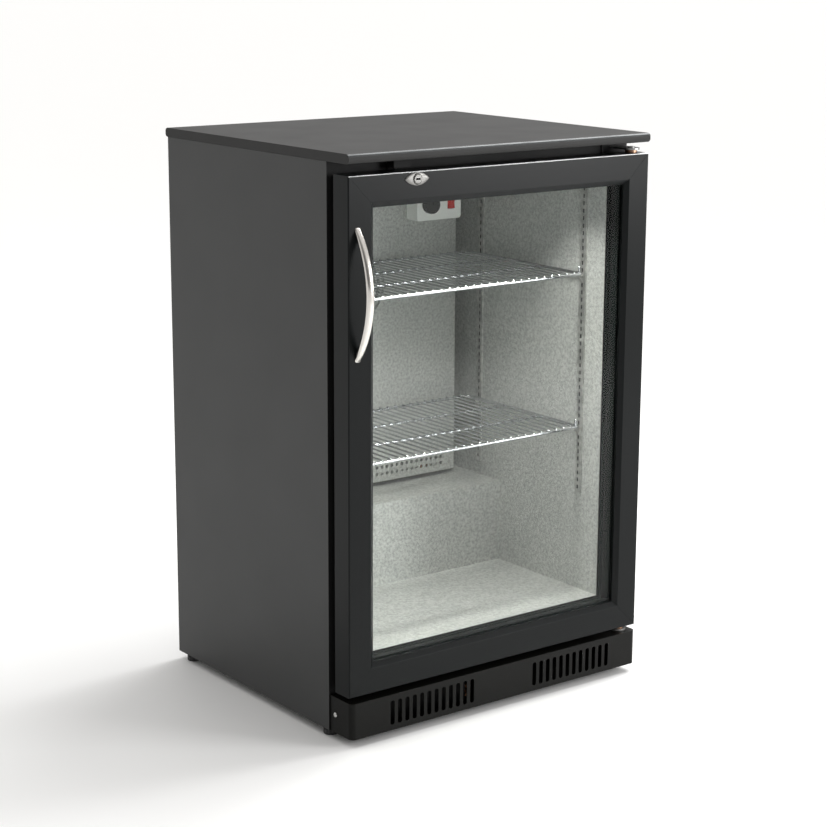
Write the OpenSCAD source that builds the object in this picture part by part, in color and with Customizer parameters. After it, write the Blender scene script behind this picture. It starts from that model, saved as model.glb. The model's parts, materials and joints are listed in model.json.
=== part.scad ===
// Under counter bottle cooler with one glass door, hinged on the right.
// +X is right, +Y is back, +Z is up. The origin is under the middle of the whole
// outline, on the floor. Most modules draw in the door frame: y = 0 is the front face
// of the door, and place() moves that face to its position.

/* [Cabinet] */
// Width across the side panels
width = 600; // [580:1:640]
// Height from the floor to the top of the lid, feet screwed in
height = 920; // [900:1:960]
// Depth from the door's front face to the lid's rear lip
depth = 520; // [510:1:560]
// Insulated thickness of the side walls
wall = 42; // [38:1:50]
// Insulated thickness of the floor
floor_wall = 53; // [45:1:56]
// Insulated thickness of the rear wall
rear_wall = 40; // [35:1:45]
// Insulated thickness under the lid
roof_wall = 60; // [50:1:70]
// Height of the lid's edge
lid_h = 15; // [14:1:20]
// Height of the base from the feet to the underside of the insulation
base_h = 61; // [60:1:70]
// Height of the feet below the side panels
foot_h = 14; // [12:1:16]

/* [Door] */
// Thickness of the door frame
door_t = 38; // [36:1:42]
// Room between the door frame and the cabinet, filled by the gasket
gasket_t = 16; // [14:1:18]
// Width of the door frame's profiles
rail_w = 49; // [46:1:52]
// Gap between the door's top and the lid
door_gap_top = 17; // [16:1:20]
// Gap between the kick plate and the door
door_gap_bottom = 9; // [8:1:12]
// Distance of the hinge pins from the door's right edge
pivot_inset = 22; // [20:1:24]

/* [Handle and lock] */
// Length of the bow handle
handle_l = 202; // [160:1:240]
// Reach of the handle in front of the door
handle_reach = 36; // [30:1:45]
// Distance of the handle's top below the door's top
handle_drop = 76; // [70:1:100]
// Distance of the handle's middle line from the door's left edge
handle_inset = 17; // [14:1:24]
// Distance of the lock from the door's left edge
lock_inset = 125; // [100:1:160]
// Distance of the lock below the door's top
lock_drop = 11.5; // [11:0.5:13]

/* [Shelves] */
// Height of the shelf clips' first slot
slot_z = 310; // [305:1:330]
// Pitch of the slots in the pilasters
slot_pitch = 12.5; // [12:0.5:13]
// Slot that carries the lower shelf
lower_slot = 8; // [6:1:12]
// Slot that carries the upper shelf
upper_slot = 29; // [24:1:32]
// Spacing of the shelf wires
wire_pitch = 16.5; // [14:0.5:25]

/* [Kick plate] */
// Number of air slots in each group
vent_n = 12; // [6:1:12]
// Spacing of the air slots
vent_pitch = 14.5; // [13:0.5:15]

/* [Hidden] */

round_fn = 48;
wire_fn = 20;
clear = 0.1;
big = 2000;

// Sheet thicknesses
skin = 1.2;
liner_t = 1;
foam_cut = 0.05;
plate_t = 3;
lid_t = 1.5;
lid_edge_r = 6;
base_t = 1.5;
rear_fold = 26;

// Places across the cabinet
side_x = width / 2;
liner_x = side_x - wall;
liner_out_x = liner_x + liner_t;
door_w = width - 2;
door_x = door_w / 2;
kick_x = side_x - 2;

// Heights
z_base = foot_h;
z_foam = z_base + base_h;
z_kick = z_foam - 2;
z_floor = z_foam + floor_wall;
z_lid = height - lid_h;
z_ceil = z_lid - roof_wall;
door_z0 = z_kick + door_gap_bottom;
door_z1 = z_lid - door_gap_top;
door_h = door_z1 - door_z0;

// Depths behind the door's face
lip_overhang = 8;
nose_front = -2;
cab_y = door_t + gasket_t;
side_y = depth - lip_overhang;
liner_y = side_y - rear_wall;
step_y = liner_y - 155;
step_z = z_floor + 147;
bay_wall = 35;
bay_y = step_y + bay_wall;
bay_z = step_z - bay_wall;
foam_y = cab_y + skin;
foam_top = height - lid_t - lid_edge_r;

// Door details
pivot_x = door_x - pivot_inset;
pivot_y = door_t / 2;
face_w = rail_w - 8;
bevel_d = 6;
glass_y = 10;
pane_t = 4;
air_gap = 12;
pane_in = 32;
rail_t = 2;
bead_w = 44;
bead_y = glass_y + 2 * pane_t + air_gap;
pin_r = 4;
pin_fit = 0.05;
bush_r = 6;
bush_flange_r = 10;
handle_x = -door_x + handle_inset;
handle_z1 = door_z1 - handle_drop;
handle_zm = handle_z1 - handle_l / 2;
handle_t = 9;
handle_w = 12;
lock_x = -door_x + lock_inset;
lock_z = door_z1 - lock_drop;
plug_r = 6.5;
sleeve_r = 8.5;
keyway_w = 8.4;
keyway_h = 3;
cam_y = 40.5;
cam_t = 3;

// Shelf details
clip_h = 10;
pil_w = 16;
pil_d = 3;
pil_front_y = 98;
pil_rear_y = 370;
pil_z0 = slot_z - 10;
pil_z1 = z_ceil - 5;
pil_slots = floor((pil_z1 - slot_z - 6) / slot_pitch);
shelf_x = liner_x - 8;
shelf_front_y = 98;
shelf_rear_y = 398;
frame_r = 2.5;
rod_r = 1.5;
rest_gap = 0.3;
lower_shelf_z = slot_z + lower_slot * slot_pitch + clip_h / 2 + frame_r + rest_gap;
upper_shelf_z = slot_z + upper_slot * slot_pitch + clip_h / 2 + frame_r + rest_gap;

// Evaporator chamber behind its cover
cover_y = 412;
cover_x = 226;
cover_z0 = step_z + 8;
cover_z1 = z_ceil - 7;
evap_fan_z = 640;
evap_fan_r = 62;
control_x = 165;
control_z = 775;
control_w = 96;
control_h = 56;
control_d = 30;
knob_x = control_x - 22;
switch_x = control_x + 26;

// Machine bay
comp_x = 130;
comp_y = 432;
comp_r = 68;
shroud_x = -22;
cond_fan_y = 432;
cond_fan_z = 118;
cond_fan_r = 66;
coil_x0 = -232;
coil_x1 = -56;
coil_y0 = 14;
coil_y1 = 50;
coil_z0 = 20;
drain_x = -150;
drain_y = 458;
drain_r = 8;
line_x = 190;
line_y = 462;
line_r = 4;
gland_x = -200;
gland_z = 52;
gland_r = 9;
cord_r = 4;
foot_x = side_x - 17;
foot_front_y = 74;
foot_rear_y = 490;
foot_r = 12;

// Screws: middle of each head's underside, and the way the shank points
screw_r = 2;
screw_head_r = 4;
screw_head_t = 1.8;
screw_l = 8;
into_y = [0, 1, 0];
out_y = [0, -1, 0];
face_y = (depth + handle_reach) / 2 - depth;
hinge_screw_z = z_ceil + 37;
hinge_low_z = z_foam + 9;
HINGE_SCREWS = [for (x = [pivot_x - 27, pivot_x + 13], z = [hinge_screw_z, hinge_low_z])
    [[x, cab_y - plate_t + 0.5, z], into_y]];
GRILLE_SCREWS = [for (x = [22 - side_x, 0, side_x - 22], z = [z_base + 14, bay_z + 14])
    [[x, side_y + skin, z], out_y]];
COVER_SCREWS = [for (x = [-cover_x + 10, cover_x - 10], z = [cover_z0 + 14, cover_z1 - 12])
    [[x, cover_y, z], into_y]];
KICK_SCREWS = [[[-kick_x, cab_y - 15, 44], [1, 0, 0]], [[kick_x, cab_y - 15, 44], [-1, 0, 0]]];
STRIKE_SCREWS = [[[lock_x, cab_y - 2, z_lid - 22], into_y]];
SCREWS = concat(HINGE_SCREWS, GRILLE_SCREWS, COVER_SCREWS, KICK_SCREWS, STRIKE_SCREWS);

// Moves the door's front face to its place in the whole outline
module place() {
    translate([0, face_y, 0]) children();
}

// Box from its lowest corner to its highest corner
module box(low, high) {
    translate(low) cube(high - low);
}

// Turns +Z into the given direction, which lies along an axis
module aim(way) {
    if (way[0] != 0) rotate([0, way[0] * 90, 0]) children();
    else if (way[1] != 0) rotate([-way[1] * 90, 0, 0]) children();
    else children();
}

// Round bar or hole from a point, along an axis
module rod(point, way, r, l, fn = round_fn) {
    translate(point) aim(way) cylinder(r = r, h = l, $fn = fn);
}

// Profile in Y and Z, pushed out across the width
module across(x0, x1) {
    translate([x0, 0, 0]) rotate([90, 0, 90]) linear_extrude(x1 - x0) children();
}

// Rectangle with round corners
module round_rect(low, high, r, fn = 32) {
    translate([low[0] + r, low[1]]) square([high[0] - low[0] - 2 * r, high[1] - low[1]]);
    translate([low[0], low[1] + r]) square([high[0] - low[0], high[1] - low[1] - 2 * r]);
    for (x = [low[0] + r, high[0] - r], y = [low[1] + r, high[1] - r])
        translate([x, y]) circle(r, $fn = fn);
}

module screw_holes() {
    for (s = SCREWS) rod(s[0] - s[1], s[1], screw_r + clear, screw_l + 2, 24);
}

// Cabinet shell -------------------------------------------------------------

// Left side: outer sheet with a folded front face and a narrow rear fold
module side_panel() {
    difference() {
        union() {
            box([-side_x, cab_y, z_base], [-side_x + skin, side_y, z_lid]);
            box([-side_x, cab_y, z_foam], [-liner_out_x, foam_y, z_lid]);
            box([-side_x, side_y - skin, z_base], [-side_x + rear_fold, side_y, z_lid]);
            box([-side_x, cab_y, z_base + 2], [-side_x + 12, foam_y, z_foam]);
        }
        screw_holes();
    }
}

module left_side_panel() {
    place() color("#3c3e3f") side_panel();
}

module right_side_panel() {
    place() color("#3c3e3f") difference() {
        mirror([1, 0, 0]) side_panel();
        screw_holes();
    }
}

module back_panel() {
    x = side_x - rear_fold;
    place() color("#55585a") difference() {
        box([-x, side_y - skin, bay_z], [x, side_y, z_lid]);
        screw_holes();
    }
}

// Lid: a tray of sheet turned upside down, with a rolled nose and a rolled rear lip
module top_panel() {
    place() color("#4a4b4b") difference() {
        across(-side_x, side_x) round_rect([nose_front, z_lid], [depth, height], lid_edge_r);
        across(-side_x + lid_t, side_x - lid_t)
            round_rect([nose_front + lid_t, z_lid + lid_t], [depth - lid_t, height - lid_t],
                lid_edge_r - lid_t);
        box([-side_x + lid_t, foam_y, z_lid - 1],
            [side_x - lid_t, side_y - skin, foam_top]);
    }
}

// The two strips that close the cabinet's front above and below the opening
module front_rails() {
    place() color("#2a2b2b") difference() {
        union() {
            box([-liner_out_x, cab_y, z_ceil + liner_t], [liner_out_x, foam_y, z_lid]);
            box([-liner_out_x, cab_y, z_foam], [liner_out_x, foam_y, z_floor - liner_t]);
        }
        screw_holes();
    }
}

// Folded sheet under the insulation, which also lines the machine bay
module bottom_panel() {
    sheet = 1;
    x = side_x - skin;
    place() color("silver") difference() {
        across(-x, x) polygon([
            [foam_y, z_foam - sheet], [bay_y + sheet, z_foam - sheet],
            [bay_y + sheet, bay_z - sheet], [side_y - skin, bay_z - sheet],
            [side_y - skin, bay_z], [bay_y, bay_z], [bay_y, z_foam], [foam_y, z_foam]]);
        pass_holes();
    }
}

// Base tray with turned-up ears that the kick plate is screwed to
module base_plate() {
    ear_x = kick_x - 1.7;
    x = side_x - skin;
    rear = side_y - skin;
    place() color("#26282a") difference() {
        union() {
            box([-x, foam_y, z_base], [x, rear, z_base + base_t]);
            box([-ear_x, 4, z_base], [ear_x, foam_y, z_base + base_t]);
            box([-x, rear - base_t, z_base], [x, rear, z_base + 24]);
            for (s = [-1, 1]) translate([s * (ear_x - base_t / 2) - base_t / 2, 20, z_base])
                cube([base_t, cab_y - 22, 45]);
        }
        for (x = [-foot_x, foot_x], y = [foot_front_y, foot_rear_y])
            rod([x, y, z_base - 1], [0, 0, 1], 4 + 2 * clear, 5);
        screw_holes();
    }
}

// Holes for the drain and the refrigerant lines through the step
module pass_holes() {
    rod([drain_x, drain_y, bay_z - 5], [0, 0, 1], drain_r + clear, 50);
    for (x = [line_x, line_x + 16])
        rod([x, line_y, bay_z - 5], [0, 0, 1], line_r + clear, 50);
}

// Outline of the cabin in Y and Z, with the step over the machine bay
module cabin_outline(grow, front) {
    polygon([
        [front, z_floor - grow], [step_y + grow, z_floor - grow],
        [step_y + grow, step_z - grow], [liner_y + grow, step_z - grow],
        [liner_y + grow, z_ceil + grow], [front, z_ceil + grow]]);
}

// Slab of foam, cut back a little from its neighbours on the high sides
module slab(low, high) {
    box(low, high - foam_cut * [1, 1, 1]);
}

// Foam that fills the walls, as one slab for each stretch of wall
module insulation() {
    x = side_x - lid_t;
    x_in = liner_out_x;
    rear = side_y - skin;
    step_in = step_z - liner_t;
    floor_in = z_floor - liner_t;
    place() color("#d9c98a") difference() {
        union() {
            slab([-x_in, foam_y, z_foam], [x_in, bay_y, floor_in]);
            slab([-x_in, step_y + liner_t, floor_in], [x_in, bay_y, step_in]);
            slab([-x_in, bay_y, bay_z], [x_in, rear, step_in]);
            slab([-x_in, liner_y + liner_t, step_in], [x_in, rear, foam_top]);
            slab([-x_in, foam_y, z_ceil + liner_t], [x_in, liner_y + liner_t, foam_top]);
            for (side = [-x, x_in]) {
                slab([side, foam_y, z_foam], [side + x - x_in, bay_y, bay_z]);
                slab([side, foam_y, bay_z], [side + x - x_in, rear, foam_top]);
            }
        }
        pass_holes();
        screw_holes();
    }
}

module inner_liner() {
    place() color("#b9bdb8") difference() {
        across(-liner_out_x, liner_out_x) cabin_outline(liner_t, cab_y);
        across(-liner_x, liner_x) cabin_outline(0, cab_y - 5);
        pass_holes();
        screw_holes();
    }
}

// Slotted shelf strips on the right wall, front and rear
module pilaster_pair() {
    web = 1.2;
    for (y = [pil_front_y, pil_rear_y]) difference() {
        box([liner_x - pil_d, y, pil_z0], [liner_x, y + pil_w, pil_z1]);
        box([liner_x - pil_d + web, y + web, pil_z0 - 1],
            [liner_x + 1, y + pil_w - web, pil_z1 + 1]);
        for (k = [0 : pil_slots]) translate([0, 0, slot_z + k * slot_pitch])
            box([liner_x - pil_d - 1, y + 6, -3.5], [liner_x - 1, y + 10, 3.5]);
    }
}

module left_pilasters() {
    place() color("silver") mirror([1, 0, 0]) pilaster_pair();
}

module right_pilasters() {
    place() color("silver") pilaster_pair();
}

// Pressed clips that hook into the slots, four under each shelf
module shelf_clips() {
    tongue_h = 5;
    arm = 9;
    web_x = liner_x - pil_d;
    place() color("silver") for (s = [0, 1]) mirror([s, 0, 0])
        for (k = [lower_slot, upper_slot], y = [pil_front_y, pil_rear_y])
            translate([0, y + 6.2, slot_z + k * slot_pitch]) {
                rotate([90, 0, 0]) translate([0, 0, -3.6]) linear_extrude(3.6) polygon([
                    [web_x, -clip_h / 2 - 2], [web_x, clip_h / 2],
                    [web_x - arm, clip_h / 2], [web_x - arm, clip_h / 2 - 2]]);
                box([web_x, 0, -tongue_h / 2], [web_x + 2.2, 3.6, tongue_h / 2]);
            }
}

// Hinges and lock strike ------------------------------------------------------

module hinge_plate(z_flat, z_low, z_high) {
    box([pivot_x - 34, cab_y - plate_t + 0.5, z_low], [door_x - 2, cab_y, z_high]);
    box([pivot_x - 14, pivot_y, z_flat], [pivot_x + 14, cab_y, z_flat + plate_t]);
    rod([pivot_x, pivot_y, z_flat], [0, 0, 1], 14, plate_t);
}

module top_hinge_plate() {
    z_flat = door_z1 + 5;
    place() color("silver") difference() {
        union() {
            hinge_plate(z_flat, z_ceil + 26, z_lid - 1);
            rod([pivot_x, pivot_y, z_flat + plate_t], [0, 0, 1], pin_r + 2, 2);
            rod([pivot_x, pivot_y, door_z1 - 16], [0, 0, 1], pin_r, 23);
        }
        screw_holes();
    }
}

module bottom_hinge_plate() {
    z_flat = z_kick + 0.2;
    place() color("silver") difference() {
        union() {
            hinge_plate(z_flat, z_flat, z_foam + 20);
            rod([pivot_x, pivot_y, z_flat], [0, 0, 1], pin_r, 24);
        }
        screw_holes();
    }
}

// Bracket under the lid that the lock's cam turns up behind
module lock_strike() {
    half = 16;
    lip_y = 35.5;
    t = 2;
    place() color("silver") difference() {
        union() {
            box([lock_x - half, cab_y - t, z_lid - 28], [lock_x + half, cab_y, z_lid]);
            box([lock_x - half, lip_y, z_lid - t], [lock_x + half, cab_y, z_lid]);
            box([lock_x - half, lip_y, door_z1 + 1.5], [lock_x + half, lip_y + t, z_lid]);
        }
        screw_holes();
    }
}

// Kick plate and rear ---------------------------------------------------------

// Cutter for one upright air slot
module vent(x) {
    vent_w = 8;
    vent_r = vent_w / 2 - 0.5;
    cut = 12;
    translate([x, nose_front - 6, 0]) rotate([-90, 0, 0]) mirror([0, 1, 0]) linear_extrude(cut)
        round_rect([-vent_w / 2, z_base + 9], [vent_w / 2, z_kick - 10], vent_r, 24);
}

// Cover across the base, wrapped round to the side panels
module kick_plate() {
    corner_r = 9;
    front = nose_front - 2;
    sheet = 1.5;
    left_group = -door_x + 80;
    right_group = -door_x + 371;
    place() color("#202223") difference() {
        translate([0, 0, z_base]) linear_extrude(z_kick - z_base)
            round_rect([-kick_x, front], [kick_x, cab_y + 20], corner_r);
        translate([0, 0, z_base - 1]) linear_extrude(z_kick - z_base + 1 - sheet)
            round_rect([-kick_x + sheet, front + sheet], [kick_x - sheet, cab_y + 30],
                corner_r - sheet);
        box([-big / 2, cab_y, 0], [big / 2, cab_y + 100, z_kick + 10]);
        for (i = [0 : vent_n - 1], x = [left_group, right_group]) vent(x + i * vent_pitch);
        screw_holes();
    }
}

// Louvred cover of the machine bay
module rear_grille() {
    slot_w = 78;
    slot_h = 5;
    rows = 14;
    row_pitch = 13;
    first = -218;
    column_pitch = 100;
    rows_at_gland = 4;
    cover = side_x - 16;
    place() color("#2b2d2e") difference() {
        box([-cover, side_y, z_base + 3], [cover, side_y + skin, bay_z + 22]);
        for (c = [0 : 4], r = [0 : rows - 1]) if (c > 0 || r >= rows_at_gland)
            translate([first + c * column_pitch, side_y - 1, z_base + 28 + r * row_pitch])
                cube([slot_w, 4, slot_h]);
        rod([gland_x, side_y - 1, gland_z], into_y, gland_r + clear, 5);
        screw_holes();
    }
}

module panel_screws() {
    place() color("gainsboro") for (s = SCREWS) {
        rod(s[0], s[1], screw_r, screw_l, 24);
        rod(s[0] - s[1] * screw_head_t, s[1], screw_head_r, screw_head_t, 32);
    }
}

module rear_spacers() {
    place() color("#1c1d1d") for (x = [-side_x + 12, side_x - 12])
        rod([x, side_y, bay_z + 35], into_y, 7, lip_overhang - 0.5);
}

// Gland that the mains lead passes through
module cord_gland() {
    place() color("#1c1d1d") difference() {
        union() {
            rod([gland_x, side_y - 10, gland_z], into_y, gland_r, 16);
            rod([gland_x, side_y + skin, gland_z], into_y, gland_r + 4, 3);
        }
        rod([gland_x, side_y - 12, gland_z], into_y, cord_r, 20);
    }
}

// Light and controls in the cabin ----------------------------------------------

module lamp_housing() {
    half = 190;
    y0 = cab_y + 10;
    place() color("gainsboro") difference() {
        box([-half, y0, z_ceil - 9], [half, y0 + 26, z_ceil]);
        box([-half + 2, y0 + 2, z_ceil - 10], [half - 2, y0 + 24, z_ceil - 4]);
    }
}

module lamp_lens() {
    half = 187;
    y0 = cab_y + 12.5;
    place() color("white") translate([0, 0, z_ceil - 7])
        box([-half, y0, -3], [half, y0 + 21, 2.5]);
}

module control_box() {
    place() color("#e4e5e2") difference() {
        translate([0, cover_y, 0]) rotate([90, 0, 0]) linear_extrude(control_d)
            round_rect([control_x - control_w / 2, control_z - control_h / 2],
                [control_x + control_w / 2, control_z + control_h / 2], 5);
        box([control_x - control_w / 2 + 3, cover_y - control_d + 3,
            control_z - control_h / 2 + 3],
            [control_x + control_w / 2 - 3, cover_y + 1, control_z + control_h / 2 - 3]);
        rod([knob_x, cover_y - control_d - 1, control_z], into_y, 3.05, 6);
        translate([switch_x - 7.3, cover_y - control_d - 1, control_z - 11.3])
            cube([14.6, 6, 22.6]);
    }
}

module thermostat_knob() {
    front = cover_y - control_d - 0.3;
    ribs = 18;
    place() color("#2a2b2b") {
        rod([knob_x, front - 12, control_z], into_y, 15, 12);
        rod([knob_x, front - 1, control_z], into_y, 3, 8);
        for (a = [0 : 360 / ribs : 359]) translate([knob_x, front - 11, control_z])
            rotate([-90, 0, 0]) rotate([0, 0, a]) translate([14.6, 0, 0])
                cylinder(r = 1.2, h = 10, $fn = 16);
        translate([knob_x - 1.2, front - 14, control_z]) cube([2.4, 3, 13]);
    }
}

// Rocker that tips about a line across its middle
module light_switch() {
    front = cover_y - control_d;
    place() color("#b3261e") translate([switch_x, front + 1, control_z]) rotate([90, 0, -90]) {
        translate([0, 0, -7]) linear_extrude(14) polygon([
            [-2, -9.5], [3.2, -10], [2, 0], [5, 9.8], [-2, 9.5]]);
        translate([0, 0, -7.2]) cylinder(r = 1.5, h = 14.4, $fn = 24);
    }
}

// Cooling unit -----------------------------------------------------------------

module fan_blades(n, r, hub, t) {
    cylinder(r = hub, h = t, $fn = round_fn);
    for (a = [0 : 360 / n : 359]) rotate([0, 0, a]) translate([hub - 2, 0, t / 2])
        rotate([32, 0, 0]) translate([0, -hub * 0.75, -0.7]) difference() {
            cube([r - hub + 2, hub * 1.5, 1.4]);
            translate([r - hub + 2 - 14, hub * 1.5, -1]) rotate([0, 0, -32]) cube([40, 20, 4]);
        }
}

// Rings round the fan's axis with four spokes left out, as a cutter through the cover
module guard_rings(y) {
    for (r = [14 : 9 : evap_fan_r - 3]) difference() {
        rod([0, y, evap_fan_z], into_y, r + 6, 16);
        rod([0, y - 1, evap_fan_z], into_y, r, 18);
        for (a = [0, 45, 90, 135]) translate([0, y - 2, evap_fan_z])
            rotate([0, a, 0]) translate([-big / 2, 0, -1.5]) cube([big, 20, 3]);
    }
}

// Cover and air guide in front of the evaporator
module evaporator_cover() {
    hole_pitch = 11;
    place() color("#c9ccc7") difference() {
        union() {
            box([-cover_x, cover_y, cover_z0], [cover_x, cover_y + skin, cover_z1]);
            for (s = [-1, 1]) translate([s * (cover_x - skin / 2) - skin / 2, cover_y, cover_z0])
                cube([skin, liner_y - cover_y, cover_z1 - cover_z0]);
            difference() {
                rod([0, cover_y - 4, evap_fan_z], into_y, evap_fan_r + 6, 5);
                guard_rings(cover_y - 6);
            }
        }
        for (x = [-200 : hole_pitch : 200], z = [14, 26])
            rod([x, cover_y - 1, cover_z0 + z], into_y, 3, 4, 20);
        intersection() {
            rod([0, cover_y - 1, evap_fan_z], into_y, evap_fan_r - 1, 8);
            guard_rings(cover_y - 6);
        }
        screw_holes();
    }
}

module evaporator_fan() {
    place() color("#2a2b2b") translate([0, cover_y + 22, evap_fan_z]) rotate([90, 0, 0])
        difference() {
            fan_blades(5, evap_fan_r - 8, 16, 14);
            translate([0, 0, -1]) cylinder(r = 3.05, h = 9, $fn = round_fn);
        }
}

module evaporator_fan_motor() {
    y0 = cover_y + 23;
    place() color("#8d9194") {
        box([-28, y0 + 4, evap_fan_z - 28], [28, y0 + 26, evap_fan_z + 28]);
        rod([0, y0 - 6, evap_fan_z], into_y, 3, 12);
        rod([0, y0 + 1, evap_fan_z], into_y, 12, 4);
        box([-90, y0 + 26, evap_fan_z - 10], [90, y0 + 28, evap_fan_z + 10]);
        for (s = [-1, 1]) translate([s * 86 - 4, cover_y + skin, evap_fan_z - 10])
            cube([8, y0 + 27 - cover_y - skin, 20]);
    }
}

// Straight tubes joined by half-round bends, in the X-Z plane of one row
module tube_row(x0, x1, z0, pitch, n, r) {
    for (i = [0 : n - 1]) rod([x0, 0, z0 + i * pitch], [1, 0, 0], r, x1 - x0, wire_fn);
    for (i = [0 : n - 2]) translate([i % 2 == 0 ? x1 : x0, 0, z0 + (i + 0.5) * pitch])
        rotate([90, 0, 0]) rotate([0, 0, i % 2 == 0 ? -90 : 90])
            rotate_extrude(angle = 180, $fn = round_fn)
                translate([pitch / 2, 0]) circle(r, $fn = wire_fn);
}

module evaporator_coil() {
    y_mid = 443;
    tubes = 8;
    pitch = 25;
    z0 = 300;
    place() color("#b8bcc0") translate([0, y_mid, 0]) {
        tube_row(-180, 180, z0 + 12, pitch, tubes, 4);
        for (x = [-174 : 12 : 174])
            box([x - 0.4, -18, z0], [x + 0.4, 18, z0 + pitch * tubes]);
    }
}

module condenser_coil() {
    y_mid = (coil_y0 + coil_y1) / 2;
    place() color("#b0703c") translate([0, y_mid, 0]) {
        for (y = [-10, 10]) translate([0, y, 0])
            tube_row(coil_x0, coil_x1, coil_z0 + 8, 17, 3, 4);
        for (x = [coil_x0 + 4 : 6 : coil_x1 - 3])
            box([x - 0.4, -18, coil_z0], [x + 0.4, 18, coil_z0 + 50]);
    }
}

module drain_tube() {
    place() color("#dcdcd6") difference() {
        union() {
            rod([drain_x, drain_y, bay_z - 92], [0, 0, 1], drain_r, 92 + bay_wall, 32);
            rod([drain_x, drain_y, step_z], [0, 0, 1], drain_r + 4, 2, 32);
        }
        rod([drain_x, drain_y, bay_z - 93], [0, 0, 1], drain_r - 2, 150, 32);
    }
}

// Welded pot with a domed top, a seam flange and short pipe stubs
module compressor() {
    z0 = z_base + 24;
    wall_h = 104;
    dome_r = 40;
    place() color("#1d1e20") translate([comp_x, comp_y, z0]) {
        rotate_extrude($fn = 64) {
            square([comp_r, wall_h]);
            translate([0, wall_h]) square([comp_r - dome_r, dome_r]);
            intersection() {
                translate([comp_r - dome_r, wall_h]) circle(dome_r, $fn = 64);
                translate([0, wall_h]) square([comp_r, dome_r]);
            }
            translate([0, 62]) square([comp_r + 3, 4]);
        }
        difference() {
            for (s = [-1, 1]) translate([s * 62 - 22, -50, -6]) cube([44, 100, 3]);
            for (x = [-70, 70], y = [-38, 38]) translate([x, y, -10])
                cylinder(r = 5.2, h = 12, $fn = 32);
        }
        for (s = [-1, 1]) translate([s * 44 - 12, -40, -4]) cube([24, 80, 5]);
    }
}

module compressor_mounts() {
    place() color("#141414") for (x = [-70, 70], y = [-38, 38])
        translate([comp_x + x, comp_y + y, z_base + 1.5]) {
            cylinder(r = 10, h = 16.5, $fn = 32);
            cylinder(r = 5, h = 22, $fn = 32);
        }
}

module relay_box() {
    place() color("#303234")
        box([comp_x + comp_r + 3.2, comp_y - 24, z_base + 40], [comp_x + 108, comp_y + 24, 120]);
}

// Plate across the machine bay that guides air through the fan
module condenser_fan_shroud() {
    place() color("#2d2f30") difference() {
        union() {
            box([shroud_x, bay_y + 2, z_base + 1.5], [shroud_x + skin, side_y - 3, bay_z - 3]);
            rod([shroud_x, cond_fan_y, cond_fan_z], [1, 0, 0], cond_fan_r + 3, 16);
        }
        rod([shroud_x - 1, cond_fan_y, cond_fan_z], [1, 0, 0], cond_fan_r, 20);
    }
}

module condenser_fan() {
    place() color("#d7d9da") translate([shroud_x + 1, cond_fan_y, cond_fan_z])
        rotate([0, 90, 0]) difference() {
            fan_blades(5, cond_fan_r - 4, 18, 14);
            translate([0, 0, -1]) cylinder(r = 3.05, h = 9, $fn = round_fn);
        }
}

module condenser_fan_motor() {
    x1 = shroud_x - 2;
    place() color("#8d9194") {
        box([x1 - 34, cond_fan_y - 28, cond_fan_z - 28], [x1 - 8, cond_fan_y + 28, cond_fan_z + 28]);
        rod([x1 - 9, cond_fan_y, cond_fan_z], [1, 0, 0], 3, 19);
        rod([x1 - 9, cond_fan_y, cond_fan_z], [1, 0, 0], 12, 6);
        box([x1 - 36, cond_fan_y - 74, cond_fan_z - 9], [x1 - 34, cond_fan_y + 74, cond_fan_z + 9]);
        for (s = [-1, 1]) translate([x1 - 36, cond_fan_y + s * 72 - 2, cond_fan_z - 9])
            cube([shroud_x - x1 + 36, 4, 18]);
    }
}

module filter_drier() {
    place() color("#b0703c") translate([-110, bay_y + 20, bay_z - 120]) rotate_extrude($fn = 32) {
        square([4, 96]);
        translate([0, 14]) square([10, 68]);
        polygon([[0, 4], [4, 4], [10, 14], [10, 82], [4, 92], [0, 92]]);
    }
}

// Suction and capillary lines down through the step, and the discharge pipe
module refrigerant_lines() {
    low = bay_z - 32;
    top = step_z + 45;
    place() color("#b0703c") {
        for (x = [line_x, line_x + 16])
            rod([x, line_y, low], [0, 0, 1], line_r, top - low, 24);
        translate([line_x + 8, line_y, top]) rotate([90, 0, 0])
            rotate_extrude(angle = 180, $fn = round_fn) translate([8, 0]) circle(line_r, $fn = 24);
        translate([line_x + 8, line_y, low]) rotate([90, 0, 0]) rotate([0, 0, 180])
            rotate_extrude(angle = 180, $fn = round_fn) translate([8, 0]) circle(line_r, $fn = 24);
        for (z = [z_base + 26, z_base + 42])
            rod([coil_x0 - 18, coil_y1 + 4, z], [0, 1, 0], 3, bay_y - coil_y1 + 10, 24);
    }
}

module evaporation_tray() {
    x0 = -190;
    x1 = -70;
    place() color("#2d2f30") difference() {
        box([x0, bay_y + 34, z_base + 1.5], [x1, side_y - 12, z_base + 34]);
        box([x0 + 2, bay_y + 36, z_base + 3.5], [x1 - 2, side_y - 14, z_base + 40]);
    }
}

// Door ---------------------------------------------------------------------------

// Section of the frame profile: X is inward from the edge, Y is depth
module rail_section() {
    difference() {
        union() {
            polygon([
                [2, 0], [face_w, 0], [rail_w, bevel_d], [rail_w, glass_y], [pane_in, glass_y],
                [pane_in, bead_y], [bead_w, bead_y], [bead_w, door_t - 1], [bead_w - 1, door_t],
                [0, door_t], [0, 2]]);
            translate([2, 2]) circle(2, $fn = 32);
        }
        translate([rail_t, rail_t]) square([pane_in - 2 * rail_t, door_t - 2 * rail_t]);
    }
}

// One mitred profile, standing on its outer edge from the origin along +Z
module rail(l) {
    intersection() {
        linear_extrude(l) rail_section();
        translate([0, -5, 0]) mirror([0, 1, 0]) rotate([90, 0, 0]) linear_extrude(door_t + 10)
            polygon([[-1, -1], [rail_w + 1, rail_w + 1], [rail_w + 1, l - rail_w - 1], [-1, l + 1]]);
    }
}

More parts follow.
